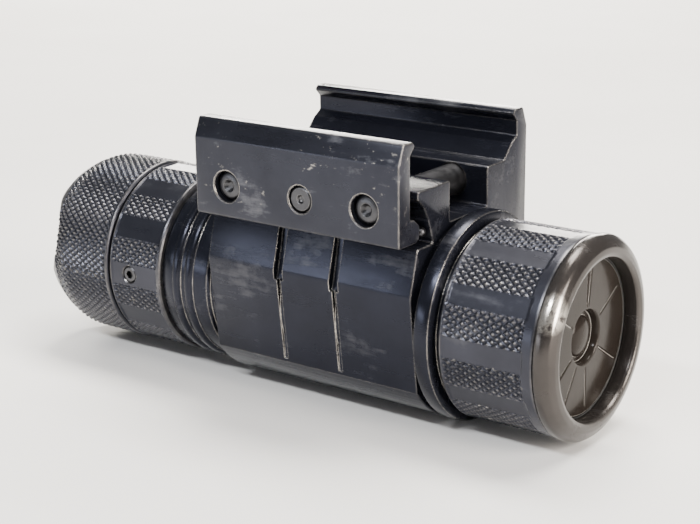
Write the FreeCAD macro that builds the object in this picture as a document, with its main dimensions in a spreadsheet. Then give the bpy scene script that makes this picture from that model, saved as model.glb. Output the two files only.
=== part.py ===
"""Small rail-mounted flashlight, millimetres.

Row frame: X along the beam (+X is the beam), +Z up, origin in the middle of the rail clamp on
the plane the rail's top face seats on.  The torch's own axis lies AXIS_DROP below that plane.
Every turned or extruded piece is drawn about the torch's axis and then lowered into place.
"""
import FreeCAD, Part
import math
import os

import Sketcher

V = FreeCAD.Vector
DOC = FreeCAD.newDocument("rail_flashlight")

# ---------------------------------------------------------------- dimensions (spreadsheet)
# All lengths are from the torch's axis (y, z) or from the clamp's middle (x).
DIMS = [
    ("axis_drop", 15.9),
    # housing: one extrusion with the rib and the fixed jaw, turned at both ends
    ("half_len", 14.2), ("bore_r", 8.7), ("shell_r", 11.9),
    ("facet_top_y", 11.1), ("facet_top_z", 4.5), ("facet_low_y", 9.8), ("facet_low_z", 6.75),
    ("deck_y", 9.7), ("deck_z", 9.6), ("rib_foot_y", 6.6), ("rib_waist_y", 7.5),
    ("rib_waist_z", 12.4), ("rib_neck_y", 8.45), ("rib_neck_z", 14.0), ("rib_nose_y", 9.6),
    ("rib_nose_z", 15.0), ("channel_near_y", 3.4), ("channel_far_y", 4.4), ("channel_z", 11.3),
    ("seat_half", 8.0), ("vee_low_y", 9.6), ("vee_low_z", 17.6), ("vee_wall_y", 10.75),
    ("vee_wall_low_z", 18.3), ("vee_wall_top_z", 20.0), ("hook_y", 9.95), ("hook_low_z", 20.8),
    ("hook_top_z", 21.05), ("jaw_top_z", 21.4), ("jaw_top_in_y", 10.35), ("jaw_top_out_y", 12.0),
    ("jaw_y", 12.9), ("jaw_fold_z", 19.2), ("jaw_skirt_z", 7.0),
    ("girth_x", 3.9), ("girth_w", 1.2), ("girth_in_y", 8.95), ("girth_mid_y", 10.3),
    ("girth_mid_z", 4.2), ("girth_low_y", 9.65), ("girth_low_z", -6.3),
    ("neck_r", 10.95), ("neck_root_r", 10.6), ("neck_root_x", -22.1), ("neck_x", -21.5),
    ("bead_r", 11.35), ("bead_w", 1.3), ("bead_slope", 0.2), ("bead_a_x", -20.2),
    ("bead_b_x", -18.3),
    ("tail_tube_r", 9.8), ("tail_tube_x", -28.7), ("tail_thread_r", 9.05), ("tail_thread_x", -25.0),
    ("gap_r", 10.4), ("neck_gap", 0.6), ("flange_x", 15.0), ("flange_w", 2.0), ("flange_r", 12.0),
    ("land_r", 10.4), ("land_w", 0.6), ("spigot_r", 9.5), ("spigot_x", 23.0),
    ("ring_seat_r", 8.95), ("ring_seat_x", 18.0), ("ring_seat_w", 1.2),
    # loose jaw, its screws and pins
    ("plate_half", 14.0), ("plate_in_y", 10.75), ("plate_low_z", 10.3), ("foot_top_z", 13.0),
    ("foot_y", 9.0), ("foot_shoulder_y", 10.0), ("foot_shoulder_z", 12.95), ("foot_nose_z", 12.1),
    ("foot_low_z", 10.8), ("foot_low_y", 9.6),
    ("screw_x", 9.5), ("screw_z", 13.9), ("screw_r", 1.75), ("screw_gap", 0.05),
    ("screw_tip_y", -12.45), ("screw_head_r", 2.95), ("screw_head_y", 9.7),
    ("screw_head_len", 3.0), ("head_pocket_r", 3.1), ("socket_flats", 2.5), ("socket_deep", 1.8),
    ("guide_r", 1.5), ("guide_x", 0.9), ("guide_tip_y", -12.75),
    ("rod_r", 0.6), ("rod_y", -7.78), ("rod_z", 11.0), ("rod_half", 13.9),
    # tail ring, tail cap and switch
    ("tring_x", -30.4), ("tring_r", 11.35), ("tring_front_x", -22.15), ("tring_thread_r", 9.05),
    ("tring_flat", 11.25), ("set_x", -27.2), ("set_r", 1.0), ("set_tip_y", -9.85),
    ("set_face_y", -11.05), ("set_socket_r", 0.52), ("set_socket_deep", 0.7),
    ("flat_gap", 0.4),
    ("cap_end_x", -43.4), ("cap_front_x", -30.7), ("cap_r", 11.45), ("cap_curve_x", -38.6),
    ("cap_mid_x", -41.3), ("cap_mid_r", 10.35), ("cap_rim_r", 8.9), ("cap_recess_r", 8.0),
    ("cap_wall_x", -40.2), ("cap_wall_w", 1.2), ("button_hole_r", 5.3), ("cap_bore_r", 7.9),
    ("cap_spigot_r", 9.0), ("cap_spigot_x", -25.2), ("cap_ring_x", -30.3), ("cap_ring_w", 1.2),
    ("cap_ring_r", 8.3), ("scallop_r", 6.0), ("scallop_x", -46.3), ("scallop_first", 14),
    ("button_r", 5.2), ("button_flange_r", 7.0), ("button_flange_x", -38.95),
    ("button_flange_w", 0.75), ("button_shoulder_x", -40.8), ("button_top_x", -41.4),
    ("button_round", 1.3), ("button_edge", 0.2), ("switch_bevel", 0.6),
    ("plunger_r", 2.0), ("plunger_x", -38.2), ("plunger_len", 3.2),
    ("switch_x", -36.8), ("switch_front_x", -28.0), ("switch_r", 7.85), ("switch_hole_r", 2.2),
    ("switch_hole_deep", 4.3), ("retain_w", 1.0), ("retain_in_r", 5.6),
    # power train
    ("cell_x", -22.5), ("cell_len", 33.3), ("cell_r", 8.5), ("cell_round", 0.6),
    ("nub_r", 3.3), ("nub_len", 1.2), ("wire_r", 0.35), ("tail_coil_r", 4.2),
    ("tail_coil_turns", 4), ("front_coil_r", 2.6), ("front_coil_turns", 2),
    ("driver_x", 15.0), ("driver_w", 1.2), ("insert_r", 8.6),
    ("sink_w", 3.0), ("sink_wire_r", 1.2), ("sink_wire_y", 5.0),
    ("star_w", 1.0), ("star_r", 8.0), ("emitter_w", 0.7),
    ("emitter_half", 1.75), ("emitter_dome_r", 1.3),
    # optic and head
    ("optic_back_r", 2.6), ("optic_cup_r", 1.6), ("optic_cup_deep", 1.8), ("optic_rim_x", 28.3),
    ("optic_rim_r", 8.7), ("optic_flange_r", 9.3), ("optic_step_x", 28.9), ("optic_face_r", 8.75),
    ("optic_face_x", 29.4), ("eye_r", 3.1), ("eye_deep", 0.9), ("eye_dome_r", 2.3),
    ("eye_dome_h", 0.8), ("holder_x", 21.0), ("holder_r", 8.6),
    ("holder_lip_x", 27.8), ("barrel_x", 17.7), ("barrel_end_x", 29.2), ("barrel_r", 11.25),
    ("barrel_bore_x", 23.6), ("barrel_bore_r", 9.45), ("barrel_front_x", 24.9),
    ("barrel_front_r", 10.1), ("barrel_flat", 11.16), ("barrel_flat_x", 18.3),
    ("barrel_flat_len", 9.3),
    ("bezel_spigot_r", 10.05), ("bezel_spigot_in_r", 9.4), ("bezel_spigot_x", 25.2),
    ("bezel_r", 11.4), ("bezel_a_x", 30.15), ("bezel_b_x", 30.85), ("bezel_b_r", 10.85),
    ("bezel_c_x", 31.2), ("bezel_c_r", 10.15), ("bezel_tip_x", 31.4), ("bezel_tip_r", 9.55),
    ("bezel_in_x", 31.25), ("bezel_in_r", 9.1), ("lip_x", 30.85), ("lip_r", 8.9),
    ("flat_count", 12), ("flat_cut_half", 4.0), ("flat_cut_deep", 2.0), ("scallop_count", 3),
    ("play", 0.05),
]

SHEET = DOC.addObject("Spreadsheet::Sheet", "Sheet")
SHEET.Label = "P"
for row, (alias, number) in enumerate(DIMS, 1):
    SHEET.set(f"A{row}", alias)
    SHEET.set(f"B{row}", str(number))
    SHEET.setAlias(f"B{row}", alias)
DOC.recompute()


def value(expression):
    """Number an expression over the spreadsheet's names stands for."""
    probe = DOC.getObject("Probe") or DOC.addObject("App::FeaturePython", "Probe")
    return float(probe.evalExpression(expression.replace("P.", "Sheet.")))


def linked(expression):
    """The expression with the spreadsheet's own object name."""
    return expression.replace("P.", "Sheet.")


# ---------------------------------------------------------------- helpers
def new_body(name):
    """A PartDesign body whose origin is the torch's axis, lowered into the row frame."""
    body = DOC.addObject("PartDesign::Body", name)
    body.Label = name
    body.setExpression("Placement.Base.z", linked("-P.axis_drop"))
    return body


def origin_plane(body, role):
    for feature in body.Origin.OriginFeatures:
        if feature.Role == role:
            return feature
    raise ValueError(role)


def new_sketch(body, name, role, offset=None):
    """Sketch on one of the body's own planes, pushed along that plane's normal by offset."""
    sketch = body.newObject("Sketcher::SketchObject", name)
    sketch.AttachmentSupport = [(origin_plane(body, role), "")]
    sketch.MapMode = "FlatFace"
    if offset:
        sketch.setExpression("AttachmentOffset.Base.z", linked(offset))
    return sketch


def pin_point(sketch, geometry, point, x_text, y_text):
    """Hold one sketch point at the two expressions."""
    for kind, text in (("DistanceX", x_text), ("DistanceY", y_text)):
        number = value(text)
        if abs(number) < 1e-9:
            other = -2 if kind == "DistanceX" else -1
            sketch.addConstraint(Sketcher.Constraint("PointOnObject", geometry, point, other))
            continue
        index = sketch.addConstraint(
            Sketcher.Constraint(kind, -1, 1, geometry, point, number))
        sketch.setExpression(f"Constraints[{index}]", linked(text))


def outline(sketch, points, arc_after=None, arc_radius=None):
    """Closed outline through points; one edge may be an arc about the sketch's origin."""
    numbers = [V(value(x), value(y), 0) for x, y in points]
    count = len(points)
    for i in range(count):
        a, b = numbers[i], numbers[(i + 1) % count]
        if i == arc_after:
            radius = value(arc_radius)
            start = math.atan2(a.y, a.x)
            end = math.atan2(b.y, b.x)
            circle = Part.Circle(V(0, 0, 0), V(0, 0, 1), radius)
            sketch.addGeometry(Part.ArcOfCircle(circle, start, end), False)
        else:
            sketch.addGeometry(Part.LineSegment(a, b), False)
    for i in range(count):
        sketch.addConstraint(Sketcher.Constraint("Coincident", i, 2, (i + 1) % count, 1))
    for i, (x_text, y_text) in enumerate(points):
        pin_point(sketch, i, 1, x_text, y_text)
    if arc_after is not None:
        index = sketch.addConstraint(
            Sketcher.Constraint("Radius", arc_after, value(arc_radius)))
        sketch.setExpression(f"Constraints[{index}]", linked(arc_radius))


def circle(sketch, x_text, y_text, r_text):
    index = sketch.addGeometry(
        Part.Circle(V(value(x_text), value(y_text), 0), V(0, 0, 1), value(r_text)), False)
    pin_point(sketch, index, 3, x_text, y_text)
    constraint = sketch.addConstraint(Sketcher.Constraint("Radius", index, value(r_text)))
    sketch.setExpression(f"Constraints[{constraint}]", linked(r_text))


def finish(body, feature):
    body.Tip = feature
    DOC.recompute()
    return feature


def cut(body, feature):
    """Finish a feature that must take material away."""
    before = body.Shape.Volume
    finish(body, feature)
    if before - body.Shape.Volume < 1e-3:
        raise ValueError(f"{feature.Name} cut nothing")


def turn(body, name, points, away=False):
    """Turn a closed (x, r) outline about the torch's axis, added or cut away."""
    sketch = new_sketch(body, name + "_outline", "XZ_Plane")
    outline(sketch, points)
    kind = "PartDesign::Groove" if away else "PartDesign::Revolution"
    feature = body.newObject(kind, name)
    feature.Profile = sketch
    feature.ReferenceAxis = (sketch, ["H_Axis"])
    feature.Angle = 360
    return finish(body, feature)


def bar(body, name, points, half_text, **arc):
    """Extrude a (y, z) outline both ways along X."""
    sketch = new_sketch(body, name + "_outline", "YZ_Plane")
    outline(sketch, points, **arc)
    feature = body.newObject("PartDesign::Pad", name)
    feature.Profile = sketch
    feature.Midplane = True
    feature.setExpression("Length", linked(f"2 * {half_text}"))
    return finish(body, feature)


def drill_y(body, name, spots, start_text, depth_text):
    """Round holes drilled towards -Y from the plane y = start."""
    sketch = new_sketch(body, name + "_spots", "XZ_Plane", f"-({start_text})")
    for x_text, z_text, r_text in spots:
        circle(sketch, x_text, z_text, r_text)
    feature = body.newObject("PartDesign::Pocket", name)
    feature.Profile = sketch
    feature.Reversed = True
    feature.setExpression("Length", linked(depth_text))
    cut(body, feature)
    return feature


def pattern(body, name, feature, count_text):
    """Repeat a feature evenly about the torch's axis."""
    polar = body.newObject("PartDesign::PolarPattern", name)
    polar.Originals = [feature]
    polar.Axis = (origin_plane(body, "X_Axis"), [""])
    polar.Angle = 360
    polar.setExpression("Occurrences", linked(count_text))
    return finish(body, polar)


def flats(body, name, distance_text, x_text, length_text):
    """Milled flats at the given distance from the axis, evenly spaced; one faces -Y."""
    sketch = new_sketch(body, name + "_outline", "XZ_Plane", distance_text)
    half, end_text = "P.flat_cut_half", f"{x_text} + {length_text}"
    outline(sketch, [(x_text, f"-{half}"), (end_text, f"-{half}"), (end_text, half),
                     (x_text, half)])
    feature = body.newObject("PartDesign::Pocket", name)
    feature.Profile = sketch
    feature.Reversed = True
    feature.setExpression("Length", linked("P.flat_cut_deep"))
    cut(body, feature)
    return pattern(body, name + "_all", feature, "P.flat_count")


def coil(name, x_text, coil_r_text, length_text, turns_text):
    """Open coil spring along X, from x forwards."""
    body = new_body(name)
    sketch = new_sketch(body, name + "_wire", "XZ_Plane")
    circle(sketch, f"{x_text} + P.wire_r", coil_r_text, "P.wire_r")
    helix = body.newObject("PartDesign::AdditiveHelix", name + "_helix")
    helix.Profile = sketch
    helix.ReferenceAxis = (sketch, ["H_Axis"])
    helix.Mode = "height-turns-angle"
    helix.setExpression("Height", linked(f"{length_text} - 2 * P.wire_r"))
    helix.setExpression("Turns", linked(turns_text))
    finish(body, helix)
    return body


# ---------------------------------------------------------------- housing and rail clamp
def body_housing():
    body = new_body("body_housing")
    bar(body, "extrusion", [
        ("P.facet_low_y", "-P.facet_low_z"), ("P.facet_top_y", "P.facet_top_z"),
        ("P.jaw_y", "P.jaw_skirt_z"), ("P.jaw_y", "P.jaw_fold_z"),
        ("P.jaw_top_out_y", "P.jaw_top_z"), ("P.jaw_top_in_y", "P.jaw_top_z"),
        ("P.hook_y", "P.hook_top_z"), ("P.hook_y", "P.hook_low_z"),
        ("P.vee_wall_y", "P.vee_wall_top_z"), ("P.vee_wall_y", "P.vee_wall_low_z"),
        ("P.vee_low_y", "P.vee_low_z"), ("P.seat_half", "P.axis_drop"),
        ("P.channel_far_y", "P.axis_drop"), ("P.channel_far_y", "P.channel_z"),
        ("-P.channel_near_y", "P.channel_z"), ("-P.channel_near_y", "P.axis_drop"),
        ("-P.rib_nose_y", "P.axis_drop"), ("-P.rib_nose_y", "P.rib_nose_z"),
        ("-P.rib_neck_y", "P.rib_neck_z"), ("-P.rib_waist_y", "P.rib_waist_z"),
        ("-P.rib_foot_y", "P.deck_z"), ("-P.deck_y", "P.deck_z"),
        ("-P.facet_top_y", "P.facet_top_z"), ("-P.facet_low_y", "-P.facet_low_z"),
    ], "P.half_len", arc_after=23, arc_radius="P.shell_r")
    beads = []
    for start in ("P.bead_a_x", "P.bead_b_x"):
        beads += [(start, "P.neck_r"), (f"{start} + P.bead_slope", "P.bead_r"),
                  (f"{start} + P.bead_w - P.bead_slope", "P.bead_r"),
                  (f"{start} + P.bead_w", "P.neck_r")]
    turn(body, "turned_ends", [
        ("P.tail_tube_x", "P.bore_r - 1"), ("P.tail_tube_x", "P.tail_tube_r"),
        ("P.neck_root_x", "P.tail_tube_r"), ("P.neck_root_x", "P.neck_root_r"),
        ("P.neck_x", "P.neck_r"), *beads,
        ("-P.half_len - P.neck_gap", "P.neck_r"), ("-P.half_len - P.neck_gap", "P.gap_r"),
        ("P.flange_x", "P.gap_r"), ("P.flange_x", "P.flange_r"),
        ("P.flange_x + P.flange_w", "P.flange_r"), ("P.flange_x + P.flange_w", "P.land_r"),
        ("P.flange_x + P.flange_w + P.land_w", "P.land_r"),
        ("P.flange_x + P.flange_w + P.land_w", "P.spigot_r"),
        ("P.ring_seat_x", "P.spigot_r"), ("P.ring_seat_x", "P.ring_seat_r"),
        ("P.ring_seat_x + P.ring_seat_w", "P.ring_seat_r"),
        ("P.ring_seat_x + P.ring_seat_w", "P.spigot_r"),
        ("P.spigot_x", "P.spigot_r"), ("P.spigot_x", "P.bore_r - 1"),
    ])
    turn(body, "bore", [
        ("P.tail_tube_x - 1", "0"), ("P.spigot_x + 1", "0"), ("P.spigot_x + 1", "P.bore_r"),
        ("P.tail_thread_x", "P.bore_r"), ("P.tail_thread_x", "P.tail_thread_r"),
        ("P.tail_tube_x - 1", "P.tail_thread_r")], away=True)
    for side, sign in (("rear", "-"), ("front", "")):
        girth_groove(body, f"girth_{side}_near", f"{sign}P.girth_x", "-",
                     [("P.girth_in_y", "P.deck_z + 0.2")], "P.deck_z + 0.2")
        girth_groove(body, f"girth_{side}_far", f"{sign}P.girth_x", "", [], "P.girth_mid_z")
    spots = [("-P.screw_x", "P.screw_z", "P.screw_r + P.screw_gap"),
             ("P.screw_x", "P.screw_z", "P.screw_r + P.screw_gap")]
    drill_y(body, "screw_holes", spots, "P.jaw_y", "2 * P.jaw_y")
    pockets = [(x, z, "P.head_pocket_r") for x, z, _ in spots]
    drill_y(body, "screw_head_pockets", pockets, "P.jaw_y", "P.jaw_y - P.screw_head_y")
    drill_y(body, "guide_hole", [("P.guide_x", "P.screw_z", "P.guide_r")],
            "-P.channel_near_y", "P.jaw_y - P.channel_near_y")
    return body


def girth_groove(body, name, x_text, y_sign, upper, top_text):
    """Groove across one side: deep over the upper facet, running out down the flat side."""
    section = [*upper, ("P.girth_mid_y", "P.girth_mid_z"), ("P.girth_low_y", "P.girth_low_z"),
               ("P.jaw_y + 1", "P.girth_low_z"), ("P.jaw_y + 1", top_text)]
    sketch = new_sketch(body, name + "_outline", "YZ_Plane", f"{x_text} - P.girth_w / 2")
    outline(sketch, [(f"{y_sign}({y_text})", z_text) for y_text, z_text in section])
    groove = body.newObject("PartDesign::Pocket", name)
    groove.Profile = sketch
    groove.Reversed = True
    groove.setExpression("Length", linked("P.girth_w"))
    cut(body, groove)


def clamp_plate():
    body = new_body("clamp_plate")
    bar(body, "plate", [
        ("-P.jaw_y", "P.plate_low_z"), ("-P.jaw_y", "P.jaw_fold_z"),
        ("-P.jaw_top_out_y", "P.jaw_top_z"), ("-P.jaw_top_in_y", "P.jaw_top_z"),
        ("-P.hook_y", "P.hook_top_z"), ("-P.hook_y", "P.hook_low_z"),
        ("-P.plate_in_y", "P.vee_wall_top_z"), ("-P.plate_in_y", "P.foot_top_z"),
        ("-P.foot_shoulder_y", "P.foot_shoulder_z"), ("-P.foot_y", "P.foot_nose_z"),
        ("-P.foot_y", "P.foot_low_z"), ("-P.foot_low_y", "P.plate_low_z")], "P.plate_half")
    drill_y(body, "threaded_holes", [
        ("-P.screw_x", "P.screw_z", "P.screw_r + P.screw_gap"),
        ("P.screw_x", "P.screw_z", "P.screw_r + P.screw_gap"),
        ("P.guide_x", "P.screw_z", "P.guide_r + P.play")], "-P.foot_y + 1", "P.jaw_y - P.foot_y + 2")
    return body


def clamp_screw(name, sign):
    """Socket screw along Y: head in the fixed jaw, tip in the loose plate."""
    body = new_body(name)
    sketch = new_sketch(body, name + "_shank_outline", "XZ_Plane", "-P.screw_head_y")
    circle(sketch, f"{sign}P.screw_x", "P.screw_z", "P.screw_r")
    shank = body.newObject("PartDesign::Pad", name + "_shank")
    shank.Profile = sketch
    shank.setExpression("Length", linked("P.screw_head_y - P.screw_tip_y"))
    finish(body, shank)
    sketch = new_sketch(body, name + "_head_outline", "XZ_Plane",
                        "-P.screw_head_y - P.screw_head_len")
    circle(sketch, f"{sign}P.screw_x", "P.screw_z", "P.screw_head_r")
    head = body.newObject("PartDesign::Pad", name + "_head")
    head.Profile = sketch
    head.setExpression("Length", linked("P.screw_head_len"))
    finish(body, head)
    sketch = new_sketch(body, name + "_socket_outline", "XZ_Plane",
                        "-P.screw_head_y - P.screw_head_len")
    hexagon(sketch, f"{sign}P.screw_x", "P.screw_z", "P.socket_flats / sqrt(3)")
    socket = body.newObject("PartDesign::Pocket", name + "_socket")
    socket.Profile = sketch
    socket.Reversed = True
    socket.setExpression("Length", linked("P.socket_deep"))
    cut(body, socket)
    return body


def hexagon(sketch, x_text, y_text, corner_r_text):
    """Regular hexagon about a point, as an outline of six bound corners."""
    points = []
    for i in range(6):
        c = round(math.cos(math.radians(60 * i)), 9)
        s = round(math.sin(math.radians(60 * i)), 9)
        points.append((f"{x_text} + ({c}) * {corner_r_text}",
                       f"{y_text} + ({s}) * {corner_r_text}"))
    outline(sketch, points)


def guide_pin():
    body = new_body("guide_pin")
    sketch = new_sketch(body, "guide_outline", "XZ_Plane", "P.channel_near_y")
    circle(sketch, "P.guide_x", "P.screw_z", "P.guide_r")
    pad = body.newObject("PartDesign::Pad", "guide_length")
    pad.Profile = sketch
    pad.setExpression("Length", linked("-P.guide_tip_y - P.channel_near_y"))
    finish(body, pad)
    return body


def pivot_rod():
    body = new_body("pivot_rod")
    sketch = new_sketch(body, "rod_outline", "YZ_Plane")
    circle(sketch, "P.rod_y", "P.rod_z", "P.rod_r")
    pad = body.newObject("PartDesign::Pad", "rod_length")
    pad.Profile = sketch
    pad.Midplane = True
    pad.setExpression("Length", linked("2 * P.rod_half"))
    finish(body, pad)
    return body


# ---------------------------------------------------------------- tail
def tail_ring():
    body = new_body("tail_ring")
    turn(body, "ring", [
        ("P.tring_x", "P.tring_thread_r"), ("P.tring_x", "P.tring_r"),
        ("P.tring_front_x", "P.tring_r"), ("P.tring_front_x", "P.tail_tube_r"),
        ("P.tail_tube_x", "P.tail_tube_r"), ("P.tail_tube_x", "P.tring_thread_r")])
    flats(body, "ring_flats", "P.tring_flat", "P.tring_x + P.flat_gap",
          "(P.tring_front_x - P.tring_x - 2 * P.flat_gap)")
    drill_y(body, "set_hole", [("P.set_x", "0", "P.set_r")], "1 - P.tring_thread_r", "P.tring_r")
    return body


def tail_set_screw():
    body = new_body("tail_set_screw")
    sketch = new_sketch(body, "grub_outline", "XZ_Plane", "-P.set_tip_y")
    circle(sketch, "P.set_x", "0", "P.set_r")
    pad = body.newObject("PartDesign::Pad", "grub")
    pad.Profile = sketch
    pad.setExpression("Length", linked("P.set_tip_y - P.set_face_y"))
    finish(body, pad)
    sketch = new_sketch(body, "grub_socket_outline", "XZ_Plane", "-P.set_face_y")
    hexagon(sketch, "P.set_x", "0", "P.set_socket_r")
    socket = body.newObject("PartDesign::Pocket", "grub_socket")
    socket.Profile = sketch
    socket.setExpression("Length", linked("P.set_socket_deep"))
    cut(body, socket)
    return body


def tail_cap():
    body = new_body("tail_cap")
    turn(body, "cap", [
        ("P.cap_spigot_x", "P.cap_bore_r"), ("P.cap_spigot_x", "P.cap_spigot_r"),
        ("P.cap_ring_x + P.cap_ring_w", "P.cap_spigot_r"),
        ("P.cap_ring_x + P.cap_ring_w", "P.cap_ring_r"), ("P.cap_ring_x", "P.cap_ring_r"),
        ("P.cap_ring_x", "P.cap_spigot_r"), ("P.cap_front_x", "P.cap_spigot_r"),
        ("P.cap_front_x", "P.cap_r"), ("P.cap_curve_x", "P.cap_r"),
        ("P.cap_mid_x", "P.cap_mid_r"), ("P.cap_end_x", "P.cap_rim_r"),
        ("P.cap_end_x", "P.cap_recess_r"), ("P.cap_wall_x", "P.cap_recess_r"),
        ("P.cap_wall_x", "P.button_hole_r"), ("P.cap_wall_x + P.cap_wall_w", "P.button_hole_r"),
        ("P.cap_wall_x + P.cap_wall_w", "P.cap_bore_r")])
    sketch = new_sketch(body, "scallop_outline", "XZ_Plane")
    circle(sketch, "P.scallop_x", "0", "P.scallop_r")
    scallop = body.newObject("PartDesign::Pocket", "scallop")
    scallop.Profile = sketch
    scallop.setExpression("Length", linked("P.cap_r + 1"))
    cut(body, scallop)
    pattern(body, "scallops", scallop, "P.scallop_count")
    body.Placement.Rotation = FreeCAD.Rotation(V(1, 0, 0), -value("P.scallop_first"))
    body.setExpression("Placement.Base.z", linked("-P.axis_drop"))
    return body


def cap_o_ring():
    return o_ring("cap_o_ring", "P.cap_ring_x + P.cap_ring_w / 2", "P.cap_ring_r",
                  "P.tring_thread_r")


def o_ring(name, x_text, inner_text, outer_text):
    """Round-section seal that just fills the space between two radii."""
    body = new_body(name)
    sketch = new_sketch(body, name + "_section", "XZ_Plane")
    circle(sketch, x_text, f"({inner_text} + {outer_text}) / 2",
           f"({outer_text} - {inner_text}) / 2 - 0.01")
    ring = body.newObject("PartDesign::Revolution", name + "_ring")
    ring.Profile = sketch
    ring.ReferenceAxis = (sketch, ["H_Axis"])
    ring.Angle = 360
    finish(body, ring)
    return body


def tail_button():
    body = new_body("tail_button")
    turn(body, "button", [
        ("P.button_flange_x + P.button_flange_w", "0"),
        ("P.button_flange_x + P.button_flange_w", "P.button_flange_r"),
        ("P.button_flange_x", "P.button_flange_r"), ("P.button_flange_x", "P.button_r"),
        ("P.button_shoulder_x", "P.button_r"),
        ("P.button_top_x + P.button_edge", "P.button_r - P.button_round"),
        ("P.button_top_x", "0")])
    return body


def switch_plunger():
    body = new_body("switch_plunger")
    turn(body, "plunger", [
        ("P.plunger_x", "0"), ("P.plunger_x", "P.plunger_r"),
        ("P.plunger_x + P.plunger_len", "P.plunger_r"), ("P.plunger_x + P.plunger_len", "0")])
    return body


def switch_body():
    body = new_body("switch_body")
    turn(body, "switch", [
        ("P.switch_front_x", "0"), ("P.switch_front_x", "P.switch_r"),
        ("P.switch_x + P.switch_bevel", "P.switch_r"), ("P.switch_x", "P.switch_r - P.switch_bevel"),
        ("P.switch_x", "P.switch_hole_r"),
        ("P.switch_x + P.switch_hole_deep", "P.switch_hole_r"),
        ("P.switch_x + P.switch_hole_deep", "0")])
    return body


def switch_retainer():
    body = new_body("switch_retainer")
    turn(body, "retainer", [
        ("P.switch_front_x", "P.retain_in_r"), ("P.switch_front_x", "P.switch_r"),
        ("P.switch_front_x + P.retain_w", "P.switch_r"),
        ("P.switch_front_x + P.retain_w", "P.retain_in_r")])
    return body


# ---------------------------------------------------------------- power train
def battery_cell():
    body = new_body("battery_cell")
    front = "P.cell_x + P.cell_len"
    turn(body, "cell", [
        ("P.cell_x", "0"), ("P.cell_x", "P.cell_r - P.cell_round"),
        ("P.cell_x + P.cell_round", "P.cell_r"), (f"{front} - P.cell_round", "P.cell_r"),
        (front, "P.cell_r - P.cell_round"), (front, "P.nub_r"),
        (f"{front} + P.nub_len", "P.nub_r"), (f"{front} + P.nub_len", "0")])
    return body


def disc(name, x_text, width_text, r_text):
    body = new_body(name)
    turn(body, name + "_disc", [
        (x_text, "0"), (x_text, r_text), (f"{x_text} + {width_text}", r_text),
        (f"{x_text} + {width_text}", "0")])
    return body


def heat_sink():
    body = disc("heat_sink", "P.driver_x + P.driver_w", "P.sink_w", "P.insert_r")
    sketch = new_sketch(body, "wire_holes_spots", "YZ_Plane", "P.driver_x")
    circle(sketch, "P.sink_wire_y", "0", "P.sink_wire_r")
    circle(sketch, "-P.sink_wire_y", "0", "P.sink_wire_r")
    holes = body.newObject("PartDesign::Pocket", "wire_holes")
    holes.Profile = sketch
    holes.Reversed = True
    holes.setExpression("Length", linked("P.driver_w + P.sink_w + 1"))
    cut(body, holes)
    return body


STAR_X = "P.driver_x + P.driver_w + P.sink_w"
EMITTER_X = STAR_X + " + P.star_w"


def led_board():
    return disc("led_board", STAR_X, "P.star_w", "P.star_r")


def led_emitter():
    body = new_body("led_emitter")
    sketch = new_sketch(body, "package_outline", "YZ_Plane", EMITTER_X)
    outline(sketch, [("-P.emitter_half", "-P.emitter_half"), ("P.emitter_half", "-P.emitter_half"),
                     ("P.emitter_half", "P.emitter_half"), ("-P.emitter_half", "P.emitter_half")])
    package = body.newObject("PartDesign::Pad", "package")
    package.Profile = sketch
    package.setExpression("Length", linked("P.emitter_w"))
    finish(body, package)
    top = EMITTER_X + " + P.emitter_w"
    turn(body, "dome", [
        (f"{top} - 0.1", "0"), (f"{top} - 0.1", "P.emitter_dome_r"), (top, "P.emitter_dome_r"),
        (f"{top} + 0.55 * P.emitter_dome_r", "0.83 * P.emitter_dome_r"),
        (f"{top} + 0.9 * P.emitter_dome_r", "0.42 * P.emitter_dome_r"),
        (f"{top} + P.emitter_dome_r", "0")])
    return body


# ---------------------------------------------------------------- optic and head
def optic():
    body = new_body("optic")
    back = EMITTER_X + " + P.emitter_w + 0.1"
    turn(body, "lens", [
        (f"{back} + P.optic_cup_deep", "0"), (f"{back} + P.optic_cup_deep", "P.optic_cup_r"),
        (back, "P.optic_cup_r"), (back, "P.optic_back_r"),
        ("P.optic_rim_x - 3", "P.optic_rim_r - 1.9"), ("P.optic_rim_x", "P.optic_rim_r - 0.9"),
        ("P.optic_rim_x", "P.optic_flange_r"), ("P.optic_step_x", "P.optic_flange_r"),
        ("P.optic_step_x", "P.optic_face_r"), ("P.optic_face_x", "P.optic_face_r"),
        ("P.optic_face_x", "P.eye_r"), ("P.optic_face_x - P.eye_deep", "P.eye_r - 0.3"),
        ("P.optic_face_x - P.eye_deep", "P.eye_dome_r"),
        ("P.optic_face_x - P.eye_deep + 0.6 * P.eye_dome_h", "0.75 * P.eye_dome_r"),
        ("P.optic_face_x - P.eye_deep + P.eye_dome_h", "0")])
    return body


def optic_holder():
    body = new_body("optic_holder")
    turn(body, "holder", [
        ("P.holder_x", "P.optic_back_r + 1.6"), ("P.holder_x", "P.holder_r"),
        ("P.holder_lip_x", "P.holder_r"), ("P.holder_lip_x", "P.optic_flange_r"),
        ("P.optic_rim_x", "P.optic_flange_r"), ("P.optic_rim_x", "P.optic_rim_r - 0.6"),
        ("P.optic_rim_x - 3", "P.optic_rim_r - 1.6")])
    return body


def bezel_gasket():
    body = new_body("bezel_gasket")
    turn(body, "gasket", [
        ("P.optic_step_x", "P.lip_r"), ("P.optic_step_x", "P.optic_flange_r"),
        ("P.optic_face_x", "P.optic_flange_r"), ("P.optic_face_x", "P.lip_r")])
    return body


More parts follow.
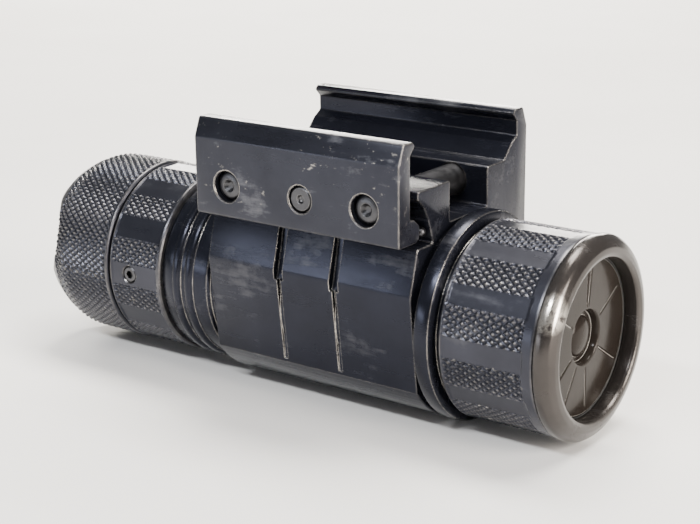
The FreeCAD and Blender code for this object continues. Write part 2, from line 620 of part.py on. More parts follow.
def bezel_ring():
    body = new_body("bezel_ring")
    turn(body, "bezel", [
        ("P.bezel_spigot_x", "P.bezel_spigot_in_r"), ("P.bezel_spigot_x", "P.bezel_spigot_r"),
        ("P.barrel_end_x + P.play", "P.bezel_spigot_r"), ("P.barrel_end_x + P.play", "P.bezel_r"),
        ("P.bezel_a_x", "P.bezel_r"), ("P.bezel_b_x", "P.bezel_b_r"),
        ("P.bezel_c_x", "P.bezel_c_r"), ("P.bezel_tip_x", "P.bezel_tip_r"),
        ("P.bezel_in_x", "P.bezel_in_r"), ("P.lip_x", "P.lip_r"), ("P.optic_face_x", "P.lip_r"),
        ("P.optic_face_x", "P.bezel_spigot_in_r")])
    return body


def head_barrel():
    body = new_body("head_barrel")
    turn(body, "barrel", [
        ("P.barrel_x", "P.spigot_r + P.play"), ("P.barrel_x", "P.barrel_r"),
        ("P.barrel_end_x", "P.barrel_r"), ("P.barrel_end_x", "P.barrel_front_r"),
        ("P.barrel_front_x", "P.barrel_front_r"), ("P.barrel_front_x", "P.barrel_bore_r"),
        ("P.barrel_bore_x", "P.barrel_bore_r"), ("P.barrel_bore_x", "P.spigot_r + P.play")])
    flats(body, "barrel_flats", "P.barrel_flat", "P.barrel_flat_x", "P.barrel_flat_len")
    return body


def head_o_ring():
    return o_ring("head_o_ring", "P.ring_seat_x + P.ring_seat_w / 2", "P.ring_seat_r",
                  "P.spigot_r + P.play")


# ---------------------------------------------------------------- build, check, write
def build_all():
    pieces = [body_housing(), clamp_plate(), clamp_screw("clamp_screw_rear", "-"),
              clamp_screw("clamp_screw_front", ""), guide_pin(), pivot_rod(), tail_ring(),
              tail_set_screw(), tail_cap(), cap_o_ring(), tail_button(), switch_plunger(),
              switch_body(), switch_retainer(),
              coil("tail_spring", "P.switch_front_x", "P.tail_coil_r",
                   "P.cell_x - P.switch_front_x", "P.tail_coil_turns"),
              battery_cell(),
              coil("front_spring", "P.cell_x + P.cell_len + P.nub_len", "P.front_coil_r",
                   "P.driver_x - P.cell_x - P.cell_len - P.nub_len", "P.front_coil_turns"),
              disc("driver_board", "P.driver_x", "P.driver_w", "P.insert_r"), heat_sink(),
              led_board(), led_emitter(), optic(), optic_holder(), bezel_gasket(),
              bezel_ring(), head_barrel(), head_o_ring()]
    DOC.recompute()
    return pieces


def write(pieces):
    os.makedirs("parts", exist_ok=True)
    for item in DOC.Objects:
        if {"Invalid", "Error"} & set(item.State):
            raise ValueError(f"{item.Label}: {item.State}")
    for piece in pieces:
        shape = piece.Shape
        if shape.isNull() or not shape.isValid() or not shape.Solids:
            raise ValueError(f"{piece.Label}: bad shape")
        box = shape.BoundBox
        print(f"{piece.Label:20s} solids {len(shape.Solids)} vol {shape.Volume:9.2f} "
              f"x {box.XMin:7.2f} {box.XMax:7.2f} y {box.YMin:7.2f} {box.YMax:7.2f} "
              f"z {box.ZMin:7.2f} {box.ZMax:7.2f}")
        shape.exportStep(f"parts/{piece.Label}.step")


write(build_all())
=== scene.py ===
"""Looks of the rail-mounted flashlight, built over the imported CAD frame.

Shapes are made in millimetres about the torch's own axis, sized from the CAD nodes' boxes, and
scaled into the row frame (metres) as the last step of each piece.
"""

import math

import bmesh
import bpy
import numpy as np
from mathutils import Matrix, Vector


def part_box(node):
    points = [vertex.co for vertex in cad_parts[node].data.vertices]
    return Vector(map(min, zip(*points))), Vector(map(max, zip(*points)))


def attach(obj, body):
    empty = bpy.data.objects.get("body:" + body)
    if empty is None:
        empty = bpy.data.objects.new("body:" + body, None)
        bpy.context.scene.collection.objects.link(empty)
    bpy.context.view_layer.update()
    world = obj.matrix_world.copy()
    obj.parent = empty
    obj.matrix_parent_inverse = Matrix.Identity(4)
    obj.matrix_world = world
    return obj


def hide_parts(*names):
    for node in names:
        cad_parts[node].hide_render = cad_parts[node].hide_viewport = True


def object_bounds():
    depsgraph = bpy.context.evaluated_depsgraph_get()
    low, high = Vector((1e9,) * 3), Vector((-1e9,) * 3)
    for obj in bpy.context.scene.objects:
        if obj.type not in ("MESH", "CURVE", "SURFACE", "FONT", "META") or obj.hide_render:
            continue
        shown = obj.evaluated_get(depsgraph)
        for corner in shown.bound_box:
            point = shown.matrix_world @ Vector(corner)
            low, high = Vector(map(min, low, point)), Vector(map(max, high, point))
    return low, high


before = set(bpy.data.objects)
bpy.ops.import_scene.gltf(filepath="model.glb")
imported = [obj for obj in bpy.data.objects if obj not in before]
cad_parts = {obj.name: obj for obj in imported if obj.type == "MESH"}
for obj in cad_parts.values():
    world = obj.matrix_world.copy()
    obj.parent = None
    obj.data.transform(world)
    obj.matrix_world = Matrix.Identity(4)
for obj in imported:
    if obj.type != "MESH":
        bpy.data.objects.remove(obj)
CAD_LOW, CAD_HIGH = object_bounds()

MM = 0.001
BARREL_MIDDLE = (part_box("head_barrel")[0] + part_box("head_barrel")[1]) / 2
AXIS = Vector((0.0, BARREL_MIDDLE.y, BARREL_MIDDLE.z))
TO_ROW = Matrix.Translation(AXIS) @ Matrix.Scale(MM, 4)


def span(node):
    """Lowest and highest corner of a CAD node in mm about the torch's axis."""
    low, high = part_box(node)
    return (low - AXIS) / MM, (high - AXIS) / MM


def centre_xz(node):
    """Middle of a CAD node seen along Y, in mm about the torch's axis."""
    low, high = span(node)
    return (low.x + high.x) / 2, (low.z + high.z) / 2


# ---------------------------------------------------------------- mesh helpers
def new_piece(name, verts, faces, smooth_angle=35):
    mesh = bpy.data.meshes.new(name)
    mesh.from_pydata([tuple(v) for v in verts], [], faces)
    mesh.update()
    obj = bpy.data.objects.new(name, mesh)
    bpy.context.scene.collection.objects.link(obj)
    shade(obj, smooth_angle)
    return obj


def shade(obj, angle):
    """Smooth shading, with edges sharper than the angle left sharp."""
    mesh = obj.data
    mesh.shade_smooth()
    mesh.set_sharp_from_angle(angle=math.radians(angle))


def settle(obj, body, node_names, material):
    """Scale a piece into the row frame and tie it to its CAD body, nodes and material."""
    obj.data.transform(TO_ROW)
    obj.data.materials.clear()
    obj.data.materials.append(material)
    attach(obj, body)
    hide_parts(*node_names)
    return obj


def rounded(points, radius, closed=True, steps=4):
    """Polyline with its corners rounded; radius may be one number or one per point."""
    points = [np.array(p, float) for p in points]
    count = len(points)
    radii = radius if isinstance(radius, (list, tuple)) else [radius] * count
    out = []
    for i, corner in enumerate(points):
        if not closed and i in (0, count - 1):
            out.append(corner)
            continue
        before, after = points[i - 1] - corner, points[(i + 1) % count] - corner
        la, lb = np.linalg.norm(before), np.linalg.norm(after)
        if la < 1e-9 or lb < 1e-9:
            continue
        cosine = np.dot(before, after) / (la * lb)
        turn = math.pi - math.acos(max(-1, min(1, cosine)))
        reach = min(radii[i] * math.tan(turn / 2), 0.45 * la, 0.45 * lb)
        if reach < 1e-4:
            out.append(corner)
            continue
        start, end = corner + before / la * reach, corner + after / lb * reach
        for k in range(steps + 1):
            t = k / steps
            out.append((1 - t) ** 2 * start + 2 * t * (1 - t) * corner + t * t * end)
    return out


def lathe(name, profile, steps=96, ring=True, shape=None, axis="X", smooth_angle=35):
    """Turned shape about the axis.  profile is (x, r) pairs; a ring closes on itself.

    shape(x, angle, r) may move points and returns (x, r).  Angle 0 faces -Y and 90 faces +Z.
    """
    turn = np.arange(steps) * 2 * math.pi / steps
    verts, rows = [], []
    for x, r in profile:
        if r < 1e-6:
            rows.append([len(verts)])
            verts.append((x, 0.0, 0.0))
            continue
        xs, rs = np.full(steps, float(x)), np.full(steps, float(r))
        if shape:
            xs, rs = shape(xs, turn, rs)
        rows.append(list(range(len(verts), len(verts) + steps)))
        verts += list(zip(xs, -rs * np.cos(turn), rs * np.sin(turn)))
    faces = []
    pairs = list(zip(rows, rows[1:])) + ([(rows[-1], rows[0])] if ring else [])
    for a, b in pairs:
        for k in range(steps):
            j = (k + 1) % steps
            if len(a) == 1 and len(b) == 1:
                continue
            if len(a) == 1:
                faces.append((a[0], b[k], b[j]))
            elif len(b) == 1:
                faces.append((a[k], b[0], a[j]))
            else:
                faces.append((a[k], b[k], b[j], a[j]))
    verts = np.array(verts, float)
    if axis == "Y":
        verts = verts[:, [1, 0, 2]] * np.array([-1, 1, 1])
    obj = new_piece(name, verts, faces, smooth_angle)
    outward(obj)
    return obj


def outward(obj):
    """Turn every face outwards."""
    bm = bmesh.new()
    bm.from_mesh(obj.data)
    bmesh.ops.recalc_face_normals(bm, faces=bm.faces)
    bm.to_mesh(obj.data)
    bm.free()


def prism(name, outline, x0, x1, chamfer, radius=0.3, smooth_angle=35):
    """Bar along X with a rounded (y, z) outline and rounded end edges."""
    points = np.array(rounded(outline, radius))
    ahead, behind = np.roll(points, -1, 0), np.roll(points, 1, 0)
    along = ahead - behind
    along /= np.maximum(np.linalg.norm(along, axis=1, keepdims=True), 1e-9)
    area = np.sum(points[:, 0] * ahead[:, 1] - ahead[:, 0] * points[:, 1])
    inward = np.stack([-along[:, 1], along[:, 0]], 1) * (1 if area > 0 else -1)
    loops = [(x0 + chamfer * (1 - math.cos(t)), chamfer * (1 - math.sin(t)))
             for t in (0, math.pi / 6, math.pi / 3, math.pi / 2)]
    loops += [(x1 - (x - x0), inset) for x, inset in reversed(loops)]
    verts, count = [], len(points)
    for x, inset in loops:
        moved = points + inward * inset
        verts += [(x, y, z) for y, z in moved]
    faces = []
    for i in range(len(loops) - 1):
        for k in range(count):
            j = (k + 1) % count
            faces.append((i * count + k, i * count + j, (i + 1) * count + j, (i + 1) * count + k))
    faces.append(tuple(range(count)))
    faces.append(tuple(reversed(range((len(loops) - 1) * count, len(loops) * count))))
    obj = new_piece(name, verts, faces, smooth_angle)
    outward(obj)
    return obj


def carve(obj, cutters, angle=35, solver="MANIFOLD"):
    """Cut the cutters out of the piece and throw them away."""
    for cutter in cutters:
        modifier = obj.modifiers.new("cut", "BOOLEAN")
        modifier.operation = "DIFFERENCE"
        modifier.solver = solver
        modifier.object = cutter
    bake(obj)
    for cutter in cutters:
        bpy.data.objects.remove(cutter)
    shade(obj, angle)


def bake(obj):
    """Replace the mesh by what its modifiers make of it."""
    graph = bpy.context.evaluated_depsgraph_get()
    mesh = bpy.data.meshes.new_from_object(obj.evaluated_get(graph))
    obj.modifiers.clear()
    obj.data = mesh


def join(name, pieces):
    """One piece out of several overlapping ones."""
    verts, faces = [], []
    for piece in pieces:
        start = len(verts)
        verts += [tuple(v.co) for v in piece.data.vertices]
        faces += [tuple(start + i for i in p.vertices) for p in piece.data.polygons]
    for piece in pieces:
        bpy.data.objects.remove(piece)
    return new_piece(name, verts, faces)


def place(obj, x=0.0, y=0.0, z=0.0):
    obj.data.transform(Matrix.Translation((x, y, z)))
    return obj


def spin(obj, degrees):
    obj.data.transform(Matrix.Rotation(math.radians(degrees), 4, "X"))
    return obj


def hex_bar(name, flats, y0, y1, x, z):
    """Hexagonal cutter along Y."""
    corner = flats / math.sqrt(3)
    bar = lathe(name, [(y0, 0), (y0, corner), (y1, corner), (y1, 0)], 6, ring=False, axis="Y")
    return place(bar, x, 0, z)


def drill_bit(name, r, y0, y1, x, z, mouth=0.0, mouth_y=None):
    """Round cutter along Y; the mouth widens at mouth_y for a chamfered edge."""
    if mouth_y is None:
        profile = [(y0, 0), (y0, r), (y1, r), (y1, 0)]
    elif mouth_y < (y0 + y1) / 2:
        profile = [(y0, 0), (y0, r + mouth + abs(y0 - mouth_y)), (mouth_y, r + mouth),
                   (mouth_y + mouth, r), (y1, r), (y1, 0)]
    else:
        profile = [(y0, 0), (y0, r), (mouth_y - mouth, r), (mouth_y, r + mouth),
                   (y1, r + mouth + abs(y1 - mouth_y)), (y1, 0)]
    return place(lathe(name, profile, 48, ring=False, axis="Y"), x, 0, z)


# ---------------------------------------------------------------- knurl and flats
FLAT_COUNT = 12
KNURL_AROUND = 84    # diamonds round the skin
KNURL_ALONG = 1.08   # mm from one diamond to the next along the axis
KNURL_DEEP = 0.25
KNURL_CREST = 0.72   # share of the wave where the groove's flank ends
FINE = KNURL_AROUND * 8
RING_FLAT_HALF, BARREL_FLAT_HALF = 7.6, 6.6   # half width of a milled flat, degrees


def saw(v):
    """Triangle wave: 0 at whole numbers, 1 halfway."""
    return 1 - np.abs(2 * (v % 1) - 1)


def diamonds(x, angle):
    """1 on top of a knurl diamond, 0 in the grooves."""
    a = angle * KNURL_AROUND / (2 * math.pi)
    b = x / KNURL_ALONG
    return np.clip(np.minimum(saw(a + b), saw(a - b)) / KNURL_CREST, 0, 1)


def off_flat(angle):
    """Angle from the middle of the nearest milled flat, radians."""
    step = 2 * math.pi / FLAT_COUNT
    return np.abs((angle + step / 2) % step - step / 2)


def fade(x, x0, x1, width):
    """1 between x0 and x1, falling to 0 over width at each end."""
    return np.clip(np.minimum(x - x0, x1 - x) / width, 0, 1)


def knurl_skin(x0, x1, outer_r, flat_half=None, flat_x=None, least_r=None):
    """Shape function that knurls the outer skin between x0 and x1 and mills flats across it."""
    least_r = least_r or outer_r - 0.06

    def shape(x, angle, r):
        is_skin = r > least_r
        groove = KNURL_DEEP * (1 - diamonds(x, angle)) * fade(x, x0, x1, 0.18)
        r = np.where(is_skin, r - groove, r)
        if flat_half:
            away = off_flat(angle)
            reach = fade(x, *flat_x, 0.25)
            flat = (outer_r - 0.1) * math.cos(flat_half) / np.cos(away)
            lane = np.clip((flat_half - away) / 0.012, 0, 1) * reach
            r = np.where(is_skin, r + (flat - r) * lane, r)
        return x, r
    return shape


def knurl_profile(outline, x0, x1, outer_r, step=0.115):
    """Outline with the skin between x0 and x1 cut into short steps."""
    xs = list(np.arange(x0, x1, step)) + [x1]
    return [*outline[0], *[(x, outer_r) for x in xs], *outline[1]]


# ---------------------------------------------------------------- materials
class Graph:
    """Short hand for a material's node tree."""

    def __init__(self, name):
        self.material = bpy.data.materials.new(name)
        self.material.use_nodes = True
        self.tree = self.material.node_tree
        self.tree.nodes.clear()
        self.out = self.tree.nodes.new("ShaderNodeOutputMaterial")
        self.coords = self.tree.nodes.new("ShaderNodeTexCoord").outputs["Object"]

    def link(self, source, socket):
        self.tree.links.new(source, socket)

    def put(self, socket, item):
        if hasattr(item, "is_output"):
            self.link(item, socket)
        else:
            socket.default_value = item

    def noise(self, scale, detail=5.0, rough=0.6, stretch=(1, 1, 1)):
        mapping = self.tree.nodes.new("ShaderNodeMapping")
        self.link(self.coords, mapping.inputs["Vector"])
        mapping.inputs["Scale"].default_value = stretch
        node = self.tree.nodes.new("ShaderNodeTexNoise")
        self.link(mapping.outputs[0], node.inputs["Vector"])
        node.inputs["Scale"].default_value = scale
        node.inputs["Detail"].default_value = detail
        node.inputs["Roughness"].default_value = rough
        return node.outputs["Fac"]

    def math(self, kind, a, b=0.0):
        node = self.tree.nodes.new("ShaderNodeMath")
        node.operation = kind
        self.put(node.inputs[0], a)
        self.put(node.inputs[1], b)
        return node.outputs[0]

    def ramp(self, source, low, high, a=0.0, b=1.0):
        node = self.tree.nodes.new("ShaderNodeMapRange")
        self.put(node.inputs["Value"], source)
        for label, number in (("From Min", low), ("From Max", high), ("To Min", a), ("To Max", b)):
            node.inputs[label].default_value = number
        return node.outputs[0]

    def mix(self, factor, a, b):
        node = self.tree.nodes.new("ShaderNodeMix")
        node.data_type = "RGBA"
        self.put(node.inputs[0], factor)
        self.put(node.inputs[6], a)
        self.put(node.inputs[7], b)
        return node.outputs[2]

    def edge(self, radius):
        """1 on edges and corners, 0 on open faces, with the rounded normal beside it."""
        bevel = self.tree.nodes.new("ShaderNodeBevel")
        bevel.samples = 4
        bevel.inputs["Radius"].default_value = radius
        geometry = self.tree.nodes.new("ShaderNodeNewGeometry")
        dot = self.tree.nodes.new("ShaderNodeVectorMath")
        dot.operation = "DOT_PRODUCT"
        self.link(bevel.outputs[0], dot.inputs[0])
        self.link(geometry.outputs["Normal"], dot.inputs[1])
        return self.ramp(dot.outputs["Value"], 0.997, 0.90), bevel.outputs[0]

    def near(self, point, inner, outer):
        """1 within inner of a point of the row frame, falling to 0 at outer."""
        gap = self.tree.nodes.new("ShaderNodeVectorMath")
        gap.operation = "DISTANCE"
        self.link(self.coords, gap.inputs[0])
        gap.inputs[1].default_value = point
        return self.ramp(gap.outputs["Value"], outer, inner)

    def pointy(self, low, high):
        geometry = self.tree.nodes.new("ShaderNodeNewGeometry")
        return self.ramp(geometry.outputs["Pointiness"], low, high)

    def bump(self, height, strength, distance, normal=None):
        node = self.tree.nodes.new("ShaderNodeBump")
        node.inputs["Strength"].default_value = strength
        node.inputs["Distance"].default_value = distance
        self.link(height, node.inputs["Height"])
        if normal is not None:
            self.link(normal, node.inputs["Normal"])
        return node.outputs[0]

    def surface(self, color, rough, metal=0.0, normal=None, **extra):
        node = self.tree.nodes.new("ShaderNodeBsdfPrincipled")
        self.put(node.inputs["Base Color"], color)
        self.put(node.inputs["Roughness"], rough)
        self.put(node.inputs["Metallic"], metal)
        if normal is not None:
            self.link(normal, node.inputs["Normal"])
        for label, item in extra.items():
            self.put(node.inputs[label.replace("_", " ")], item)
        self.link(node.outputs[0], self.out.inputs["Surface"])
        return self.material


def rgb(r, g, b):
    return (r, g, b, 1.0)


# Light cream of bare metal on worn edges, also standing in for a painted edge highlight.
BARE_METAL_AND_EDGE_HIGHLIGHT = rgb(0.62, 0.58, 0.52)
WORN_SPOT = AXIS + MM * Vector((30.3, -9.8, 5.6))


def coated_metal(name, color, rough, edge_wear_and_highlight=0.5, scuff=0.5, knurled=False, flecked=False,
                 worn_spot=False, gloss=0.5):
    """Hard-coated metal, worn bright along its edges and knurl tips, partly a painted edge
    highlight, with scuffs and a fine grain.
    """
    g = Graph(name)
    grain = g.noise(9000, 3)
    cloud = g.noise(160, 6, 0.65)
    streak = g.noise(420, 6, 0.7, (0.18, 1, 1))
    # On knurls, pointiness picks out the tips, which are painted bright: partly worn metal, partly
    # a painted highlight.
    if knurled:
        edge = g.pointy(0.52, 0.60)
        normal = None
    else:
        edge, normal = g.edge(0.00019)
    patchy = g.ramp(g.noise(700, 6, 0.7), 0.38, 0.62)
    # Edge mask painted cream and more metallic: partly worn bare metal, partly a painted edge
    # highlight.
    rubbed_and_edge_highlight = g.math("MULTIPLY", g.math("MULTIPLY", edge, g.math("ADD", patchy, 0.4)), edge_wear_and_highlight)
    if flecked:
        specks = g.ramp(g.noise(1500, 4, 0.75, (0.6, 1, 1)), 0.62, 0.68)
        where = g.ramp(g.noise(110, 3), 0.48, 0.62)
        flecks = g.math("MULTIPLY", g.math("MULTIPLY", specks, where), 0.55)
        rubbed_and_edge_highlight = g.math("MAXIMUM", rubbed_and_edge_highlight, flecks)
    if worn_spot:
        patch = g.math("MULTIPLY", g.near(WORN_SPOT, 0.0008, 0.0024), g.ramp(patchy, 0.1, 0.5))
        rubbed_and_edge_highlight = g.math("MAXIMUM", rubbed_and_edge_highlight, patch)
    scuffed = g.math("MULTIPLY", g.ramp(g.math("MULTIPLY", cloud, streak), 0.30, 0.42), scuff)
    base = g.mix(g.ramp(cloud, 0.3, 0.7), color, [c * 1.5 for c in color[:3]] + [1.0])
    base = g.mix(g.math("MULTIPLY", scuffed, 0.35), base, rgb(0.20, 0.20, 0.21))
    base = g.mix(rubbed_and_edge_highlight, base, BARE_METAL_AND_EDGE_HIGHLIGHT)
    roughness = g.math("ADD", g.ramp(streak, 0.3, 0.7, rough - 0.06, rough + 0.08),
                       g.math("MULTIPLY", scuffed, 0.16))
    height = g.math("ADD", g.math("MULTIPLY", grain, 0.35), g.math("MULTIPLY", scuffed, -0.5))
    return g.surface(base, roughness, g.ramp(rubbed_and_edge_highlight, 0, 1, 0.72, 1.0),
                     g.bump(height, 0.35, 0.00002, normal), Specular_IOR_Level=gloss)


def plain_metal(name, color, rough, turned=(1, 1, 1), edge_wear_and_highlight=0.6):
    """Bare or blackened metal with tool marks, worn bright along its edges, partly a painted edge
    highlight.
    """
    g = Graph(name)
    marks = g.noise(1500, 4, 0.6, turned)
    stain = g.noise(240, 5)
    edge, normal = g.edge(0.00015)
    base = g.mix(g.ramp(stain, 0.3, 0.7), color, [c * 0.7 for c in color[:3]] + [1.0])
    # Edges painted light: partly worn bare metal, partly a painted edge highlight.
    base = g.mix(g.math("MULTIPLY", edge, edge_wear_and_highlight), base, rgb(0.75, 0.73, 0.70))
    return g.surface(base, g.ramp(marks, 0.3, 0.7, rough, rough + 0.15), 1.0,
                     g.bump(marks, 0.25, 0.00002, normal))


def moulded(name, color, rough, grain=2500, **extra):
    """Moulded rubber or plastic with a fine skin and dust in it."""
    g = Graph(name)
    skin = g.noise(grain, 4)
    dust = g.ramp(g.noise(300, 6, 0.7), 0.5, 0.75)
    base = g.mix(g.math("MULTIPLY", dust, 0.35), color,
                 [min(1, c * 1.6 + 0.03) for c in color[:3]] + [1.0])
    return g.surface(base, g.ramp(skin, 0.3, 0.7, rough - 0.05, rough + 0.1), 0.0,
                     g.bump(skin, 0.4, 0.00002), **extra)


def optic_material():
    """Smooth tinted lens plastic."""
    g = Graph("optic_tinted")
    cloud = g.noise(120, 3)
    base = g.mix(g.ramp(cloud, 0.3, 0.7), rgb(0.0105, 0.0085, 0.0070), rgb(0.0155, 0.0125, 0.0105))
    edge, normal = g.edge(0.00012)
    # Crease ridges and rims painted light cream: a painted highlight.
    base = g.mix(g.math("MULTIPLY", edge, 0.6), base, rgb(0.72, 0.70, 0.66))
    return g.surface(base, g.ramp(g.noise(900, 5), 0.3, 0.7, 0.14, 0.26), 0.1,
                     g.bump(g.noise(60, 2), 0.12, 0.0002, normal), Specular_IOR_Level=0.07,
                     Coat_Weight=0.06, Coat_Roughness=0.06)


def clear_dome_material():
    g = Graph("led_clear")
    tint = g.mix(g.ramp(g.noise(500, 3), 0.3, 0.7), rgb(0.95, 0.9, 0.62), rgb(0.9, 0.84, 0.5))
    return g.surface(tint, g.ramp(g.noise(2000, 3), 0.3, 0.7, 0.04, 0.12), 0.0, None,
                     Transmission_Weight=0.35, IOR=1.5)


COAT_BODY = coated_metal("coat_body", rgb(0.011, 0.012, 0.018), 0.24, 0.5, 0.6,
                         gloss=0.28)
COAT_PLATE = coated_metal("coat_plate", rgb(0.019, 0.020, 0.027), 0.30, 0.8, 1.3,
                          flecked=True, gloss=0.42)
COAT_BEZEL = coated_metal("coat_bezel", rgb(0.036, 0.032, 0.030), 0.22, 0.8, 0.6,
                          worn_spot=True)
COAT_KNURL = coated_metal("coat_knurl", rgb(0.023, 0.024, 0.032), 0.31, 0.24, 0.5,
                          knurled=True)
SCREW_BLACK = plain_metal("screw_black", rgb(0.075, 0.075, 0.08), 0.30, edge_wear_and_highlight=0.08)
PIN_STEEL = plain_metal("pin_steel", rgb(0.075, 0.075, 0.08), 0.30, edge_wear_and_highlight=0.15)
SPRING_STEEL = plain_metal("spring_steel", rgb(0.66, 0.65, 0.62), 0.18)
BRASS = plain_metal("retainer_brass", rgb(0.72, 0.53, 0.25), 0.25, (0.1, 1, 1))
SINK_METAL = plain_metal("sink_metal", rgb(0.62, 0.62, 0.64), 0.28, (0.1, 1, 1))
SEAL_RUBBER = moulded("seal_rubber", rgb(0.018, 0.018, 0.018), 0.55)
BUTTON_RUBBER = moulded("button_rubber", rgb(0.028, 0.028, 0.03), 0.6, 3500)
SWITCH_PLASTIC = moulded("switch_plastic", rgb(0.035, 0.035, 0.037), 0.42)
HOLDER_PLASTIC = moulded("holder_plastic", rgb(0.72, 0.72, 0.69), 0.4)
CELL_WRAP = moulded("cell_wrap", rgb(0.05, 0.12, 0.26), 0.28, 900, Coat_Weight=0.4)
BOARD_MASK = moulded("board_mask", rgb(0.02, 0.11, 0.05), 0.35, 1800)
OPTIC = optic_material()
LED_CLEAR = clear_dome_material()


# ---------------------------------------------------------------- housing and clamp
def mirror_y(points):
    """The same (y, z) points on the near side."""
    return [(-y, z) for y, z in points]


def jaw_hook(jaw_y, top_z):
    """Jaw's head above the seat, from the outer fold over the hook to the bottom of the V."""
    return [(jaw_y, top_z - 2.2), (jaw_y - 0.9, top_z), (jaw_y - 2.55, top_z),
            (jaw_y - 2.95, top_z - 0.35), (jaw_y - 2.95, top_z - 0.6)]


GIRTH_X = 3.9
SHELL_R, SHELL_CORNER = 11.9, 34.6   # round underside and where it starts, degrees below +Y
BAR_HALF = span("clamp_plate")[1].x + 0.2
SEAT_Z = -AXIS.z / MM
VEE_DEEP = 2.15                      # from the jaw's outside to the bottom of the V
BORE_R = 8.7
TUBE_R, SPIGOT_R, SEAL_SEAT_R = 9.8, 9.5, 8.95
THREAD_PITCH, THREAD_DEEP = 0.4, 0.22


def housing_bar():
    """Extruded middle of the housing: tube, rib and fixed jaw, with its grooves and holes."""
    high = span("body_housing")[1]
    jaw_y, top_z, seat_z = high.y, high.z, SEAT_Z
    bottom = []
    for k in range(33):
        t = math.radians(-SHELL_CORNER - (180 - 2 * SHELL_CORNER) * k / 32)
        bottom.append((SHELL_R * math.cos(t), SHELL_R * math.sin(t)))
    vee_y = jaw_y - VEE_DEEP
    far = [(11.1, 4.5), (jaw_y, 7.0), *jaw_hook(jaw_y, top_z), (vee_y, top_z - 1.4),
           (vee_y, top_z - 3.1), (9.6, seat_z + 1.7), (8.0, seat_z), (4.4, seat_z), (4.4, 11.3)]
    near = [(-3.4, 11.3), (-3.4, seat_z), (-9.6, seat_z), (-9.6, seat_z - 0.9), (-8.45, 14.0),
            (-7.5, 12.4), (-6.6, 9.6), (-9.7, 9.6), (-11.1, 4.5)]
    outline = [*far, *near, *bottom[::-1]]
    radii = [0.5, 0.5, 0.4, 0.4, 0.35, 0.15, 0.15, 0.2, 0.25, 0.25, 0.3, 0.25, 0.3,
             0.3, 0.25, 0.3, 0.25, 0.5, 0.8, 0.3, 0.4, 1.6] + [0.01] * len(bottom)
    bar = prism("housing_bar", outline, -BAR_HALF, BAR_HALF, 0.12, radii)
    cutters = []
    slot = [(-8.95, 9.9), (-10.2, 4.3), (-10.5, 3.4), (-14, 3.4), (-14, 9.9)]
    line = [(-10.5, 4.0), (-9.7, -6.3), (-14, -6.3), (-14, 4.0)]
    for side in (-GIRTH_X, GIRTH_X):
        cutters.append(place(prism("slot_near", slot, -0.62, 0.62, 0.1, 0.12), side))
        cutters.append(place(prism("line_near", line, -0.26, 0.26, 0.05, 0.12), side))
        cutters.append(place(prism("line_far", mirror_y(line), -0.26, 0.26, 0.05, 0.12), side))
    for screw in ("clamp_screw_rear", "clamp_screw_front"):
        x, z = centre_xz(screw)
        cutters.append(drill_bit("bolt_way", 1.85, -11, 14, x, z))
        cutters.append(drill_bit("head_way", 3.1, 9.7, 14.5, x, z, 0.25, jaw_y))
    cutters.append(lathe("bore_way", [(-30, 0), (-30, BORE_R), (24, BORE_R), (24, 0)], 96,
                         ring=False))
    carve(bar, cutters)
    return bar


def thread(x0, x1, r):
    """Plain thread rings along a skin."""
    points = []
    for x in np.arange(x0, x1, THREAD_PITCH):
        points += [(x, r), (x + THREAD_PITCH / 2, r - THREAD_DEEP)]
    return points


def build_housing():
    bar = housing_bar()
    low, high = span("body_housing")
    neck, bead, gap, flange_r = 10.95, 11.35, 10.4, -low.z
    half, x_ring = BAR_HALF, span("tail_ring")[1].x
    flange0 = half + 0.8
    tube, spigot = TUBE_R, SPIGOT_R
    outer = [(low.x, BORE_R + 0.3), (low.x, tube), *thread(low.x + 0.6, x_ring - 1.4, tube)]
    outer += [(x_ring, tube), (x_ring + 0.05, neck - 0.35), (x_ring + 0.65, neck)]
    for start in (-20.2, -18.3):
        outer += [(start, neck), (start + 0.18, bead - 0.1), (start + 0.35, bead),
                  (start + 0.95, bead), (start + 1.12, bead - 0.1), (start + 1.3, neck)]
    outer += [(-half - 1.0, neck), (-half - 0.75, neck - 0.08), (-half - 0.6, neck - 0.3),
              (-half - 0.5, gap), (-half + 0.5, gap), (0, gap), (half - 0.5, gap),
              (flange0 - 0.1, gap), (flange0, gap + 0.3), (flange0, flange_r - 0.35),
              (flange0 + 0.12, flange_r - 0.1), (flange0 + 0.35, flange_r),
              (flange0 + 1.55, flange_r), (flange0 + 1.85, flange_r - 0.12),
              (flange0 + 2.0, flange_r - 0.4), (flange0 + 2.0, gap), (flange0 + 2.6, gap),
              (flange0 + 2.6, spigot), (flange0 + 3.0, spigot), (flange0 + 3.0, SEAL_SEAT_R),
              (flange0 + 4.2, SEAL_SEAT_R), (flange0 + 4.2, spigot),
              *thread(flange0 + 4.5, high.x - 0.7, spigot)]
    outer += [(high.x - 0.2, spigot), (high.x, spigot - 0.2), (high.x, BORE_R)]
    tube_skin = lathe("housing_tube", outer, 160)
    piece = join("housing_shell", [bar, tube_skin])
    return settle(piece, "housing", ["body_housing"], COAT_BODY)


def build_clamp_plate():
    low, high = span("clamp_plate")
    jaw_y, top_z = -low.y, high.z
    inner = jaw_y - VEE_DEEP
    outline = [(jaw_y, low.z), *jaw_hook(jaw_y, top_z), (inner, top_z - 1.4), (inner, 13.0),
               (10.0, 12.95), (9.0, 12.1), (9.0, 10.8), (9.6, low.z)]
    radii = [0.35, 0.5, 0.4, 0.35, 0.15, 0.15, 0.25, 0.3, 0.4, 0.5, 0.5, 0.35]
    plate = prism("clamp_plate_skin", mirror_y(outline), low.x, high.x, 0.13, radii)
    cutters = []
    for node, r in (("clamp_screw_rear", 1.8), ("clamp_screw_front", 1.8), ("guide_pin", 1.56)):
        x, z = centre_xz(node)
        cutters.append(drill_bit("hole", r, -14.5, -8, x, z, 0.1, low.y))
    carve(plate, cutters)
    return settle(plate, "loose_jaw", ["clamp_plate"], COAT_PLATE)


